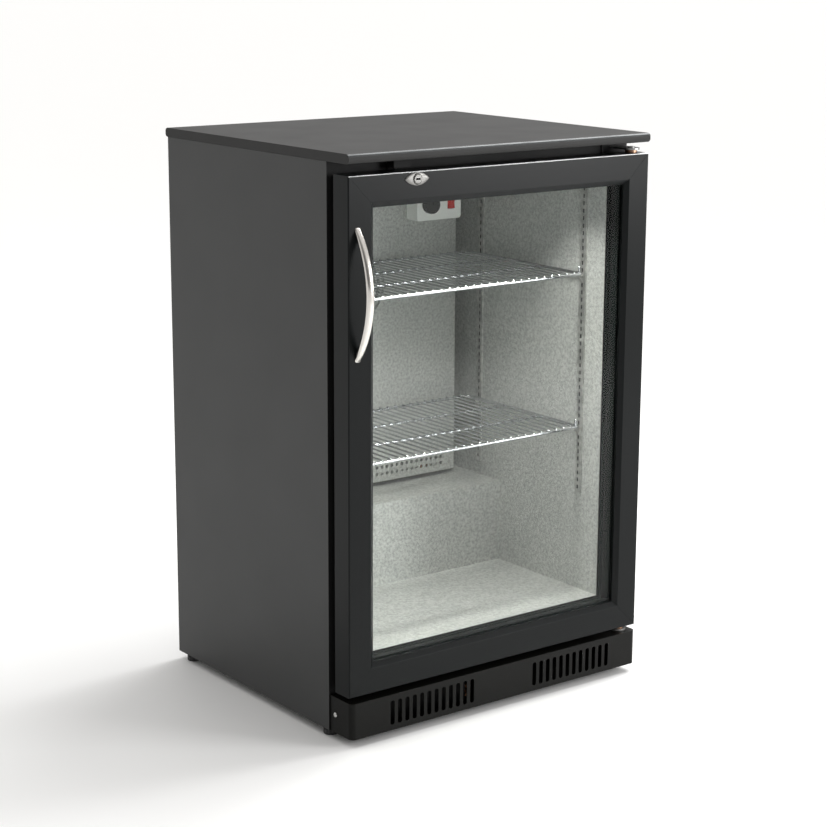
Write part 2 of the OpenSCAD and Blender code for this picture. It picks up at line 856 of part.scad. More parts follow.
module lock_hole() {
    rod([lock_x, -5, lock_z], into_y, sleeve_r + clear, 60);
}

module bush_holes() {
    rod([pivot_x, pivot_y, door_z1 - 25], [0, 0, 1], bush_r + clear, 30);
    rod([pivot_x, pivot_y, door_z0 - 5], [0, 0, 1], bush_r + clear, 30);
}

module handle_holes() {
    for (s = [-1, 1]) {
        rod([handle_x, -20, handle_zm + s * (handle_l / 2 - 8)], into_y, screw_r + clear, 30);
        rod([handle_x, door_t - 5, handle_zm + s * (handle_l / 2 - 8)], into_y, 5, 10);
    }
}

module door_frame_left() {
    place() color("#1f2122") difference() {
        translate([-door_x, 0, door_z0]) rail(door_h);
        handle_holes();
    }
}

module door_frame_right() {
    place() color("#1f2122") translate([door_x, 0, door_z0]) mirror([1, 0, 0]) rail(door_h);
}

module door_frame_top() {
    place() color("#1f2122") difference() {
        translate([-door_x, 0, door_z1]) rotate([0, 90, 0]) rail(door_w);
        lock_hole();
        bush_holes();
    }
}

module door_frame_bottom() {
    place() color("#1f2122") difference() {
        translate([-door_x, 0, door_z0]) mirror([0, 0, 1]) rotate([0, 90, 0]) rail(door_w);
        bush_holes();
    }
}

// Cast angles pushed into the hollow profiles at the mitres
module door_corner_keys() {
    leg = 56;
    gap = 0.2;
    low = rail_t + gap;
    high = pane_in - rail_t - gap;
    place() color("#9da1a4") difference() {
        for (sx = [0, 1], sz = [0, 1]) translate([0, 0, sz * (door_z0 + door_z1)])
            mirror([0, 0, sz]) mirror([sx, 0, 0]) {
                box([-door_x + low, low, door_z0 + low],
                    [-door_x + leg, door_t - low, door_z0 + high]);
                box([-door_x + low, low, door_z0 + low],
                    [-door_x + high, door_t - low, door_z0 + leg]);
            }
        bush_holes();
    }
}

module pane(y0) {
    edge = pane_in + 0.5;
    box([-door_x + edge, y0, door_z0 + edge], [door_x - edge, y0 + pane_t, door_z1 - edge]);
}

module outer_glass() {
    place() color([0.6, 0.7, 0.68, 0.35]) pane(glass_y);
}

module inner_glass() {
    place() color([0.6, 0.7, 0.68, 0.35]) pane(glass_y + pane_t + air_gap);
}

module glass_spacer() {
    out = pane_in + 4;
    in = rail_w + 2;
    y0 = glass_y + pane_t;
    place() color("#101112") difference() {
        box([-door_x + out, y0, door_z0 + out], [door_x - out, y0 + air_gap, door_z1 - out]);
        box([-door_x + in, y0 - 1, door_z0 + in], [door_x - in, y0 + air_gap + 1, door_z1 - in]);
    }
}

// Magnetic bellows seal on the back of the frame
module door_gasket() {
    out_x = pivot_x - 3;
    in_x = liner_x + 2;
    out_z0 = z_floor - 17;
    in_z0 = z_floor - 3;
    out_z1 = z_ceil + 17;
    in_z1 = z_ceil + 3;
    place() color("#141516") difference() {
        box([-out_x, door_t, out_z0], [out_x, cab_y - 0.3, out_z1]);
        box([-in_x, door_t - 1, in_z0], [in_x, cab_y + 1, in_z1]);
    }
}

// Bow of rounded section whose tips meet the door's face
module door_handle() {
    sag = handle_reach - handle_t / 2;
    bow_r = (pow(handle_l, 2) / 4 + pow(sag, 2) - pow(handle_t, 2) / 4) / (2 * sag + handle_t);
    half_a = asin(handle_l / 2 / bow_r) + 3;
    place() color("#d0d0ca") difference() {
        translate([handle_x, bow_r - sag, handle_zm]) rotate([0, 0, -90]) rotate([90, 0, 0])
            rotate([0, 0, -half_a]) rotate_extrude(angle = 2 * half_a, $fn = 96)
                translate([bow_r, 0])
                    round_rect([-handle_t / 2, -handle_w / 2], [handle_t / 2, handle_w / 2], 4);
        box([handle_x - 30, 0, handle_zm - handle_l], [handle_x + 30, 90, handle_zm + handle_l]);
        for (s = [-1, 1])
            rod([handle_x, -5, handle_zm + s * (handle_l / 2 - 8)], into_y, screw_r + clear, 9);
    }
}

module handle_screws() {
    place() color("gainsboro") for (s = [-1, 1])
        translate([0, 0, handle_zm + s * (handle_l / 2 - 8)]) {
            rod([handle_x, -4.5, 0], into_y, screw_r, 7, 24);
            rod([handle_x, rail_t, 0], into_y, screw_head_r, 2.5, 32);
        }
}

// Pointed oval plate with a sleeve through the top profile
module lock_escutcheon() {
    half_l = 23;
    half_h = 10;
    lens_r = (half_l * half_l + half_h * half_h) / (2 * half_h);
    place() color("#d8d8d4") difference() {
        union() {
            translate([lock_x, 0, lock_z]) rotate([90, 0, 0]) linear_extrude(2.4)
                intersection() {
                    translate([0, lens_r - half_h]) circle(lens_r, $fn = 96);
                    translate([0, half_h - lens_r]) circle(lens_r, $fn = 96);
                }
            rod([lock_x, -3.6, lock_z], into_y, 9, 3.7);
            rod([lock_x, 0, lock_z], into_y, sleeve_r, cam_y - 0.5);
        }
        rod([lock_x, -5, lock_z], into_y, plug_r + pin_fit, 60);
    }
}

// Plug with a keyway, and the cam on its rear end
module lock_cylinder() {
    place() color("#c9c9c4") difference() {
        union() {
            rod([lock_x, -4.2, lock_z], into_y, plug_r, cam_y + cam_t + 4.2);
            rod([lock_x, cam_y, lock_z], into_y, 8, cam_t);
            box([lock_x - 22, cam_y, lock_z - 5], [lock_x, cam_y + cam_t, lock_z + 5]);
        }
        box([lock_x - keyway_w / 2, -5, lock_z - keyway_h / 2],
            [lock_x + keyway_w / 2, 14, lock_z + keyway_h / 2]);
    }
}

module hinge_bushes() {
    gap = 0.2;
    top_flange = 5 - 2 * gap;
    low_flange = door_z0 - (z_kick + gap + plate_t) - 2 * gap;
    place() color("#b0703c") difference() {
        union() {
            rod([pivot_x, pivot_y, door_z1 - 20], [0, 0, 1], bush_r, 20 + gap);
            rod([pivot_x, pivot_y, door_z1 + gap], [0, 0, 1], bush_flange_r, top_flange - gap);
            rod([pivot_x, pivot_y, door_z0 - gap], [0, 0, 1], bush_r, 20);
            rod([pivot_x, pivot_y, door_z0 - gap - low_flange], [0, 0, 1], bush_flange_r,
                low_flange);
        }
        rod([pivot_x, pivot_y, door_z0 - 20], [0, 0, 1], pin_r + pin_fit, door_h + 40);
    }
}

// Shelves ------------------------------------------------------------------------

// Welded wire shelf, drawn about the middle line of its frame wire
module wire_shelf() {
    half_wires = floor((shelf_x - 8) / wire_pitch);
    post_h = 12;
    for (y = [shelf_front_y, shelf_rear_y])
        rod([-shelf_x, y, 0], [1, 0, 0], frame_r, 2 * shelf_x, wire_fn);
    for (x = [-shelf_x, shelf_x]) {
        rod([x, shelf_front_y, 0], [0, 1, 0], frame_r, shelf_rear_y - shelf_front_y, wire_fn);
        for (y = [shelf_front_y, shelf_rear_y]) translate([x, y, 0]) sphere(frame_r, $fn = 24);
        rod([x * 0.97, shelf_front_y, 0], [0, 0, 1], frame_r, post_h, wire_fn);
        translate([x * 0.97, shelf_front_y, post_h]) sphere(frame_r, $fn = 24);
    }
    for (y = [195, 300])
        rod([-shelf_x, y, 0], [1, 0, 0], frame_r, 2 * shelf_x, wire_fn);
    for (i = [-half_wires : half_wires])
        rod([i * wire_pitch, shelf_front_y - 1, frame_r + rod_r / 2], [0, 1, 0], rod_r,
            shelf_rear_y - shelf_front_y + 2, 16);
}

module upper_shelf() {
    place() color("gainsboro") translate([0, 0, upper_shelf_z]) wire_shelf();
}

module lower_shelf() {
    place() color("gainsboro") translate([0, 0, lower_shelf_z]) wire_shelf();
}

// Feet ---------------------------------------------------------------------------

module foot(x, y) {
    place() color("#141516") translate([x, y, 0]) {
        cylinder(r = foot_r, h = 9, $fn = round_fn);
        translate([0, 0, 9]) cylinder(r = foot_r - 4, h = z_base - 9.4, $fn = round_fn);
        translate([0, 0, 5]) cylinder(r = 4, h = 38, $fn = 32);
    }
}

module front_left_foot() {
    foot(-foot_x, foot_front_y);
}

module front_right_foot() {
    foot(foot_x, foot_front_y);
}

module rear_left_foot() {
    foot(-foot_x, foot_rear_y);
}

module rear_right_foot() {
    foot(foot_x, foot_rear_y);
}

left_side_panel();
right_side_panel();
back_panel();
top_panel();
front_rails();
bottom_panel();
base_plate();
insulation();
inner_liner();
left_pilasters();
right_pilasters();
shelf_clips();
top_hinge_plate();
bottom_hinge_plate();
lock_strike();
kick_plate();
rear_grille();
panel_screws();
rear_spacers();
cord_gland();
lamp_housing();
lamp_lens();
control_box();
evaporator_coil();
evaporator_cover();
evaporator_fan_motor();
drain_tube();
compressor();
compressor_mounts();
relay_box();
condenser_coil();
condenser_fan_shroud();
condenser_fan_motor();
filter_drier();
refrigerant_lines();
evaporation_tray();
door_frame_left();
door_frame_right();
door_frame_top();
door_frame_bottom();
door_corner_keys();
outer_glass();
inner_glass();
glass_spacer();
door_gasket();
door_handle();
handle_screws();
lock_escutcheon();
hinge_bushes();
lock_cylinder();
evaporator_fan();
condenser_fan();
upper_shelf();
lower_shelf();
front_left_foot();
front_right_foot();
rear_left_foot();
rear_right_foot();
thermostat_knob();
light_switch();
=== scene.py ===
"""Looks of an under counter bottle cooler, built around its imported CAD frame."""

import json
import math

import bmesh
import bpy
from mathutils import Matrix, Vector

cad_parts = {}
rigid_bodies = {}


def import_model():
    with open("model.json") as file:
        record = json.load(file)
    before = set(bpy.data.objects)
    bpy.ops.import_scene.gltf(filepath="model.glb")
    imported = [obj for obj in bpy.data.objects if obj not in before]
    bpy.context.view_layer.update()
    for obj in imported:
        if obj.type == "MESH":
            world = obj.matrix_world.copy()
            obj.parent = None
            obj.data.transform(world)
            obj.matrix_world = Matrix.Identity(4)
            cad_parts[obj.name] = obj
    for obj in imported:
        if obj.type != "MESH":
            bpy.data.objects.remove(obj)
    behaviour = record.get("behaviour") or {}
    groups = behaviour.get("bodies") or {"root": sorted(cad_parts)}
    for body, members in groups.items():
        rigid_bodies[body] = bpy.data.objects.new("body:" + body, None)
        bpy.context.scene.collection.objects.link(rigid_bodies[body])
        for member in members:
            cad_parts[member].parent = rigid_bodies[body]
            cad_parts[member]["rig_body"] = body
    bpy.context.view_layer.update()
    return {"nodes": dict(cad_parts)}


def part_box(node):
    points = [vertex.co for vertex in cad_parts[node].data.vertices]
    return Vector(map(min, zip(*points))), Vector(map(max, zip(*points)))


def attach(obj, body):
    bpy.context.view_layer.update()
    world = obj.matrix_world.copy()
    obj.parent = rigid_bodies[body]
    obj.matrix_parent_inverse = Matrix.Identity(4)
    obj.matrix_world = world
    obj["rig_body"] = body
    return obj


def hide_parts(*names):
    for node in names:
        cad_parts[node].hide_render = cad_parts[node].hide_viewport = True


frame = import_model()

MM = 0.001
RIGHT = Vector((1, 0, 0))
UP = Vector((0, 0, 1))
SHARP = math.radians(28)
FLAT = math.radians(0.6)
WELD = 0.005 * MM


# Camera, lights and floor -----------------------------------------------------


def make_camera():
    """Stands where the photographer stood: in front, to the left and above the lid."""
    yaw, pitch, roll = (math.radians(a) for a in (37.11, 13.14, 0.28))
    data = bpy.data.cameras.new("camera")
    data.lens = 88.6
    data.sensor_width = 36.0
    data.clip_start = 0.05
    data.clip_end = 200.0
    camera = bpy.data.objects.new("camera", data)
    turn = Matrix.Rotation(-yaw, 4, "Z") @ Matrix.Rotation(math.pi / 2 - pitch, 4, "X")
    place = Matrix.Translation((-2.005, -2.657, 1.225))
    camera.matrix_world = place @ turn @ Matrix.Rotation(roll, 4, "Z")
    bpy.context.scene.collection.objects.link(camera)
    bpy.context.scene.camera = camera


def area_light(name, place, target, size, watts, colour=(1, 1, 1)):
    data = bpy.data.lights.new(name, "AREA")
    data.shape = "RECTANGLE"
    data.size, data.size_y = size
    data.energy = watts
    data.color = colour
    light = bpy.data.objects.new(name, data)
    light.location = place
    light.rotation_mode = "QUATERNION"
    light.rotation_quaternion = (Vector(target) - Vector(place)).to_track_quat("-Z", "Y")
    light.visible_camera = False
    bpy.context.scene.collection.objects.link(light)
    return light


def map_range(nodes, source, target):
    """A node that maps one range of values to another."""
    node = nodes.new("ShaderNodeMapRange")
    for socket, number in zip(("From Min", "From Max", "To Min", "To Max"), (*source, *target)):
        node.inputs[socket].default_value = number
    return node


def make_world():
    """A pale studio: bright overhead, softer at the horizon, with an unlit end at the front left."""
    world = bpy.data.worlds.new("studio")
    bpy.context.scene.world = world
    world.use_nodes = True
    nodes, links = world.node_tree.nodes, world.node_tree.links
    nodes.clear()
    out = nodes.new("ShaderNodeOutputWorld")
    back = nodes.new("ShaderNodeBackground")
    back.inputs["Color"].default_value = (1.0, 0.99, 0.975, 1.0)
    coord = nodes.new("ShaderNodeTexCoord")
    split = nodes.new("ShaderNodeSeparateXYZ")
    rise = map_range(nodes, (-0.1, 0.8), (0.78, 1.0))
    toward = nodes.new("ShaderNodeVectorMath")
    toward.operation = "DOT_PRODUCT"
    toward.inputs[1].default_value = (-0.62, -0.78, 0.1)
    dim = map_range(nodes, (0.3, 0.95), (1.0, 0.2))
    dim.interpolation_type = "SMOOTHSTEP"
    both = nodes.new("ShaderNodeMath")
    both.operation = "MULTIPLY"
    links.new(coord.outputs["Generated"], split.inputs[0])
    links.new(coord.outputs["Generated"], toward.inputs[0])
    links.new(split.outputs["Z"], rise.inputs["Value"])
    links.new(toward.outputs["Value"], dim.inputs["Value"])
    links.new(rise.outputs["Result"], both.inputs[0])
    links.new(dim.outputs["Result"], both.inputs[1])
    links.new(both.outputs[0], back.inputs["Strength"])
    links.new(back.outputs[0], out.inputs[0])


def make_lights():
    """The cabin's own lamp, two soft boxes and a weak, very soft sun."""
    lens_low, lens_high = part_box("lamp_lens")
    middle = (lens_low + lens_high) / 2
    below = Vector((middle.x, middle.y, lens_low.z - 2 * MM))
    lamp_size = (lens_high.x - lens_low.x, 50 * MM)
    lamp = area_light("cabin_lamp", below, below - UP, lamp_size, 3.2, (1.0, 0.985, 0.94))
    lamp.data.spread = math.radians(105)
    area_light("key", (1.75, 0.0, 2.6), (0, 0, 0.3), (1.5, 1.5), 42)
    area_light("front_right", (1.75, -2.35, 1.15), (0.1, -0.25, 0.8), (1.1, 1.1), 48)
    data = bpy.data.lights.new("soft_sun", "SUN")
    data.energy = 1.0
    data.angle = math.radians(35)
    sun = bpy.data.objects.new("soft_sun", data)
    sun.rotation_euler = (math.radians(-6), math.radians(38), 0)
    bpy.context.scene.collection.objects.link(sun)


def make_floor():
    size = 60.0
    mesh = bpy.data.meshes.new("floor")
    corners = [(-size, -size, 0), (size, -size, 0), (size, size, 0), (-size, size, 0)]
    mesh.from_pydata(corners, [], [(0, 1, 2, 3)])
    floor = bpy.data.objects.new("floor", mesh)
    bpy.context.scene.collection.objects.link(floor)
    paper = Paint("floor_paper", (0.93, 0.93, 0.925), 0.6)
    paper.vary_roughness(2.0, 0.55, 0.68)
    mesh.materials.append(paper.material)


# Materials --------------------------------------------------------------------


class Paint:
    """A material on one Principled shader, with procedural detail added by its methods."""

    def __init__(self, name, colour, rough, metal=0.0):
        self.material = bpy.data.materials.new(name)
        self.material.use_nodes = True
        self.nodes = self.material.node_tree.nodes
        self.links = self.material.node_tree.links
        self.nodes.clear()
        self.out = self.nodes.new("ShaderNodeOutputMaterial")
        self.shader = self.nodes.new("ShaderNodeBsdfPrincipled")
        self.links.new(self.shader.outputs[0], self.out.inputs["Surface"])
        self.colour = colour
        self.set("Base Color", (*colour, 1.0))
        self.set("Roughness", rough)
        self.set("Metallic", metal)
        self.coord = self.nodes.new("ShaderNodeTexCoord").outputs["Object"]

    def set(self, socket, value):
        self.shader.inputs[socket].default_value = value

    def mapped(self, stretch):
        node = self.nodes.new("ShaderNodeMapping")
        node.inputs["Scale"].default_value = stretch
        self.links.new(self.coord, node.inputs["Vector"])
        return node.outputs["Vector"]

    def noise(self, scale, detail, stretch=(1, 1, 1)):
        node = self.nodes.new("ShaderNodeTexNoise")
        node.inputs["Scale"].default_value = scale
        node.inputs["Detail"].default_value = detail
        self.links.new(self.mapped(stretch), node.inputs["Vector"])
        return node.outputs["Fac"]

    def cells(self, scale, feature="F1"):
        node = self.nodes.new("ShaderNodeTexVoronoi")
        node.feature = feature
        node.inputs["Scale"].default_value = scale
        self.links.new(self.coord, node.inputs["Vector"])
        return node.outputs["Distance"]

    def spread(self, value, low, high, start=0.3, end=0.7):
        node = map_range(self.nodes, (start, end), (low, high))
        self.links.new(value, node.inputs["Value"])
        return node.outputs["Result"]

    def vary_colour(self, value, other, low=0.0, high=1.0):
        """Blends the base colour towards another one where the value is high."""
        mix = self.nodes.new("ShaderNodeMix")
        mix.data_type = "RGBA"
        base = self.shader.inputs["Base Color"]
        if base.is_linked:
            self.links.new(base.links[0].from_socket, mix.inputs["A"])
        else:
            mix.inputs["A"].default_value = (*self.colour, 1.0)
        mix.inputs["B"].default_value = (*other, 1.0)
        self.links.new(self.spread(value, low, high), mix.inputs["Factor"])
        self.links.new(mix.outputs["Result"], base)

    def vary_roughness(self, scale, low, high, stretch=(1, 1, 1)):
        value = self.noise(scale, 3.0, stretch)
        self.links.new(self.spread(value, low, high), self.shader.inputs["Roughness"])

    def bump(self, value, depth, strength):
        """Raises the surface by the value, times a depth in metres."""
        node = self.nodes.new("ShaderNodeBump")
        node.inputs["Strength"].default_value = strength
        node.inputs["Distance"].default_value = depth
        normal = self.shader.inputs["Normal"]
        if normal.is_linked:
            self.links.new(normal.links[0].from_socket, node.inputs["Normal"])
        self.links.new(value, node.inputs["Height"])
        self.links.new(node.outputs["Normal"], normal)


def shade(colour, factor):
    """The colour, darker or lighter by a factor."""
    return tuple(c * factor for c in colour)


def stretched(across, along, run):
    """Texture scales that draw a pattern out along one axis."""
    return [along if axis == run else across for axis in range(3)]


def powder_coat(name, colour, light, rough, grain=900.0, ior=1.4):
    """Satin powder coat: a fine orange peel with faint lighter specks."""
    paint = Paint(name, colour, rough)
    paint.set("IOR", ior)
    paint.vary_colour(paint.noise(3.0, 2.0), shade(colour, 1.05))
    paint.vary_colour(paint.noise(grain * 1.7, 1.0), light, 0.0, 0.35)
    paint.vary_roughness(11.0, rough - 0.02, rough + 0.02)
    paint.bump(paint.noise(grain, 2.0), 0.00005, 0.55)
    paint.bump(paint.noise(grain / 9, 1.0), 0.00008, 0.35)
    return paint.material


def anodised(name, colour, run):
    """Black anodised profile with fine drawing lines along one axis."""
    along = stretched(260.0, 3.0, run)
    paint = Paint(name, colour, 0.3)
    paint.set("IOR", 1.22)
    paint.vary_colour(paint.noise(4.0, 3.0, along), shade(colour, 1.35))
    paint.vary_roughness(2.5, 0.28, 0.33, along)
    paint.bump(paint.noise(6.0, 3.0, along), 0.00002, 0.5)
    return paint.material


def stucco(name, colour, rough):
    """Embossed aluminium sheet with small rounded cells."""
    cell = 230.0
    depth = 0.5 * MM
    paint = Paint(name, colour, rough, 0.5)
    paint.vary_colour(paint.noise(7.0, 3.0), shade(colour, 0.92))
    paint.vary_colour(paint.noise(cell, 1.0), shade(colour, 0.6), 0.0, 0.9)
    paint.vary_roughness(19.0, rough - 0.05, rough + 0.07)
    paint.bump(paint.cells(cell, feature="SMOOTH_F1"), depth, 0.8)
    paint.bump(paint.noise(cell * 0.45, 2.0), depth, 0.55)
    return paint.material


def metal(name, colour, rough, run=None, scratches=0.3):
    """Bare or plated metal, with brushing along one axis if a run is given."""
    stretch = (1, 1, 1) if run is None else stretched(18.0, 0.6, run)
    paint = Paint(name, colour, rough, 1.0)
    paint.vary_colour(paint.noise(35.0, 3.0, stretch), shade(colour, 0.86))
    paint.vary_roughness(60.0, rough * 0.75, rough * 1.35, stretch)
    paint.bump(paint.noise(160.0, 3.0, stretch), 0.00002, scratches)
    return paint.material


def spangle(name, colour, rough):
    """Zinc coat with its large flat crystals."""
    paint = Paint(name, colour, rough, 0.9)
    paint.vary_colour(paint.cells(90.0), shade(colour, 0.72))
    paint.vary_roughness(70.0, rough - 0.08, rough + 0.1)
    paint.bump(paint.noise(240.0, 2.0), 0.00003, 0.4)
    return paint.material


def moulded(name, colour, rough, grain=1500.0, ior=1.45):
    """Moulded plastic or rubber with a fine spark-eroded grain."""
    paint = Paint(name, colour, rough)
    paint.set("IOR", ior)
    paint.vary_colour(paint.noise(9.0, 2.0), tuple(min(1.0, c * 1.15 + 0.004) for c in colour))
    paint.vary_roughness(24.0, rough - 0.06, rough + 0.06)
    paint.bump(paint.noise(grain, 2.0), 0.00004, 0.5)
    return paint.material


def foam(name, colour):
    """Rigid insulation foam with open cells at its skin."""
    paint = Paint(name, colour, 0.85)
    paint.vary_colour(paint.noise(40.0, 4.0), shade(colour, 0.8))
    paint.vary_roughness(60.0, 0.75, 0.95)
    paint.bump(paint.cells(700.0), 0.0004, 0.8)
    return paint.material


def glow(name, colour, strength):
    """Opal diffuser with fine ribs that shines by itself."""
    paint = Paint(name, colour, 0.45)
    paint.vary_colour(paint.noise(16.0, 2.0), shade(colour, 0.94))
    paint.vary_roughness(60.0, 0.38, 0.5)
    paint.set("Emission Color", (*colour, 1.0))
    paint.set("Emission Strength", strength)
    paint.bump(paint.noise(60.0, 1.0, (12, 1, 1)), 0.0001, 0.5)
    return paint.material


def clear_glass(name, tint):
    """Coated pane: see-through, with a faint mirror layer that grows towards a grazing view."""
    mirror_straight, mirror_grazing = 0.007, 0.6
    mat = bpy.data.materials.new(name)
    mat.use_nodes = True
    nodes, links = mat.node_tree.nodes, mat.node_tree.links
    nodes.clear()
    out = nodes.new("ShaderNodeOutputMaterial")
    mix = nodes.new("ShaderNodeMixShader")
    through = nodes.new("ShaderNodeBsdfTransparent")
    through.inputs["Color"].default_value = (*tint, 1.0)
    mirror = nodes.new("ShaderNodeBsdfGlossy")
    mirror.inputs["Color"].default_value = (1, 1, 1, 1)
    facing = nodes.new("ShaderNodeLayerWeight")
    facing.inputs["Blend"].default_value = 0.5
    power = nodes.new("ShaderNodeMath")
    power.operation = "POWER"
    power.inputs[1].default_value = 5.0
    share = nodes.new("ShaderNodeMath")
    share.operation = "MULTIPLY_ADD"
    share.inputs[1].default_value = mirror_grazing
    share.inputs[2].default_value = mirror_straight
    coord = nodes.new("ShaderNodeTexCoord")
    smear = nodes.new("ShaderNodeTexNoise")
    smear.inputs["Scale"].default_value = 5.0
    smear.inputs["Detail"].default_value = 3.0
    rough = nodes.new("ShaderNodeMapRange")
    rough.inputs["To Min"].default_value = 0.005
    rough.inputs["To Max"].default_value = 0.05
    links.new(coord.outputs["Object"], smear.inputs["Vector"])
    links.new(smear.outputs["Fac"], rough.inputs["Value"])
    links.new(rough.outputs["Result"], mirror.inputs["Roughness"])
    links.new(facing.outputs["Facing"], power.inputs[0])
    links.new(power.outputs[0], share.inputs[0])
    links.new(share.outputs[0], mix.inputs["Fac"])
    links.new(through.outputs[0], mix.inputs[1])
    links.new(mirror.outputs[0], mix.inputs[2])
    links.new(mix.outputs[0], out.inputs["Surface"])
    return mat


# Mesh tools -------------------------------------------------------------------


def piece(name, bm, material, node):
    """Turns a bmesh into an object that rides where a CAD node rides and stands for it."""
    mesh = bpy.data.meshes.new(name)
    bm.to_mesh(mesh)
    bm.free()
    mesh.materials.append(material)
    for polygon in mesh.polygons:
        polygon.use_smooth = True
    made = bpy.data.objects.new(name, mesh)
    bpy.context.scene.collection.objects.link(made)
    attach(made, frame["nodes"][node]["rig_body"])
    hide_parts(node)
    return made


def welded(node):
    """A copy of a CAD node's mesh with its coincident points joined."""
    bm = bmesh.new()
    bm.from_mesh(frame["nodes"][node].data)
    bmesh.ops.remove_doubles(bm, verts=bm.verts, dist=WELD)
    return bm


def refine(node, material, edge):
    """The CAD shape with its flat faces whole and its edges rounded by so many millimetres."""
    bm = welded(node)
    bmesh.ops.dissolve_limit(
        bm, angle_limit=FLAT, use_dissolve_boundaries=False, verts=bm.verts, edges=bm.edges
    )
    sharp = [e for e in bm.edges if len(e.link_faces) == 2 and e.calc_face_angle(0.0) > SHARP]
    bmesh.ops.bevel(
        bm, geom=sharp, offset=edge * MM, segments=2, profile=0.5, affect="EDGES", clamp_overlap=True
    )
    soften(bm)
    made = piece(node + "_finished", bm, material, node)
    weigh = made.modifiers.new("even_normals", "WEIGHTED_NORMAL")
    weigh.keep_sharp = True
    weigh.weight = 80
    return made


def paint_faces(node, material, wanted):
    """Gives a second material to the faces of a finished node that a test picks."""
    mesh = bpy.data.objects[node + "_finished"].data
    mesh.materials.append(material)
    for polygon in mesh.polygons:
        if wanted(polygon):
            polygon.material_index = 1


def islands(node):
    """The separate solids of a node, each as a list of its points."""
    bm = welded(node)
    left = set(bm.verts)
    found = []
    while left:
        stack = [left.pop()]
        group = []
        while stack:
            v = stack.pop()
            group.append(v.co.copy())
            for e in v.link_edges:
                other = e.other_vert(v)
                if other in left:
                    left.remove(other)
                    stack.append(other)
        found.append(group)
    bm.free()
    return found


def extent(points):
    low = Vector(min(p[i] for p in points) for i in range(3))
    high = Vector(max(p[i] for p in points) for i in range(3))
    return low, high


def axis_vector(axis, length):
    """A vector along one axis, which is given by its number."""
    out = Vector((0, 0, 0))
    out[axis] = length
    return out


def circle(centre, a, b, radius, sides):
    """Points round a centre in the plane of a and b. The radius may be a function of the angle."""
    reach = radius if callable(radius) else lambda turn: radius
    turns = (2 * math.pi * k / sides for k in range(sides))
    return [centre + (a * math.cos(t) + b * math.sin(t)) * reach(t) for t in turns]


def loft(bm, rings, closed=False):
    """Skins a list of rings of points, and caps its two ends unless it closes on itself."""
    made = [[bm.verts.new(p) for p in ring] for ring in rings]
    count = len(made[0])
    pairs = list(zip(made, made[1:])) + ([(made[-1], made[0])] if closed else [])
    for a, b in pairs:
        for i in range(count):
            j = (i + 1) % count
            bm.faces.new((a[i], a[j], b[j], b[i]))
    if not closed:
        bm.faces.new(list(reversed(made[0])))
        bm.faces.new(made[-1])


def frames_along(path):
    """Each point of a path with two directions across it."""
    out = []
    side = None
    for i, p in enumerate(path):
        ahead = path[min(i + 1, len(path) - 1)] - path[max(i - 1, 0)]
        ahead.normalize()
        if side is None:
            side = ahead.orthogonal().normalized()
        side = (side - ahead * side.dot(ahead)).normalized()
        out.append((p, side, ahead.cross(side)))
    return out


def tube(bm, path, radius, sides, domed=True):
    """A round wire along a path, with domed ends if they are wanted."""
    steps = frames_along(path)
    start = (path[0] - path[1]).normalized()
    end = (path[-1] - path[-2]).normalized()
    shares = (0.35, 0.75, 0.95) if domed else ()

    def dome(step, way, share):
        point, a, b = step
        return circle(point + way * radius * math.sqrt(1 - share * share), a, b, radius * share, sides)

    rings = [dome(steps[0], start, share) for share in shares]
    rings += [circle(point, a, b, radius, sides) for point, a, b in steps]
    rings += [dome(steps[-1], end, share) for share in reversed(shares)]
    loft(bm, rings)


def bent(points, radius, steps=6):
    """A path of straight runs whose corners are arcs of one radius."""
    points = [Vector(p) for p in points]
    out = [points[0]]
    for before, corner, after in zip(points, points[1:], points[2:]):
        a = (before - corner).normalized()
        b = (after - corner).normalized()
        half = a.angle(b) / 2
        reach = radius / math.tan(half)
        centre = corner + (a + b).normalized() * (radius / math.sin(half))
        start, end = corner + a * reach, corner + b * reach
        first, last = (start - centre).normalized(), (end - centre).normalized()
        for k in range(steps + 1):
            out.append(centre + first.slerp(last, k / steps) * radius)
    out.append(points[-1])
    return out


def block(bm, low, high, edge):
    """A box with softened edges."""
    low, high = Vector(low), Vector(high)
    made = bmesh.ops.create_cube(bm, size=1.0)["verts"]
    for v in made:
        for i in range(3):
            v.co[i] = low[i] if v.co[i] < 0 else high[i]
    edges = list({e for v in made for e in v.link_edges})
    bmesh.ops.bevel(
        bm, geom=edges, offset=edge, segments=2, profile=0.5, affect="EDGES", clamp_overlap=True
    )


def soften(bm, limit=50):
    """Marks the edges that stay crisp under smooth shading."""
    for e in bm.edges:
        e.smooth = not (len(e.link_faces) == 2 and e.calc_face_angle(0.0) > math.radians(limit))


def tidy_normals(bm, limit=50):
    """Turns all faces outward and marks the crisp edges."""
    bmesh.ops.recalc_face_normals(bm, faces=bm.faces)
    soften(bm, limit)


# Pieces -----------------------------------------------------------------------


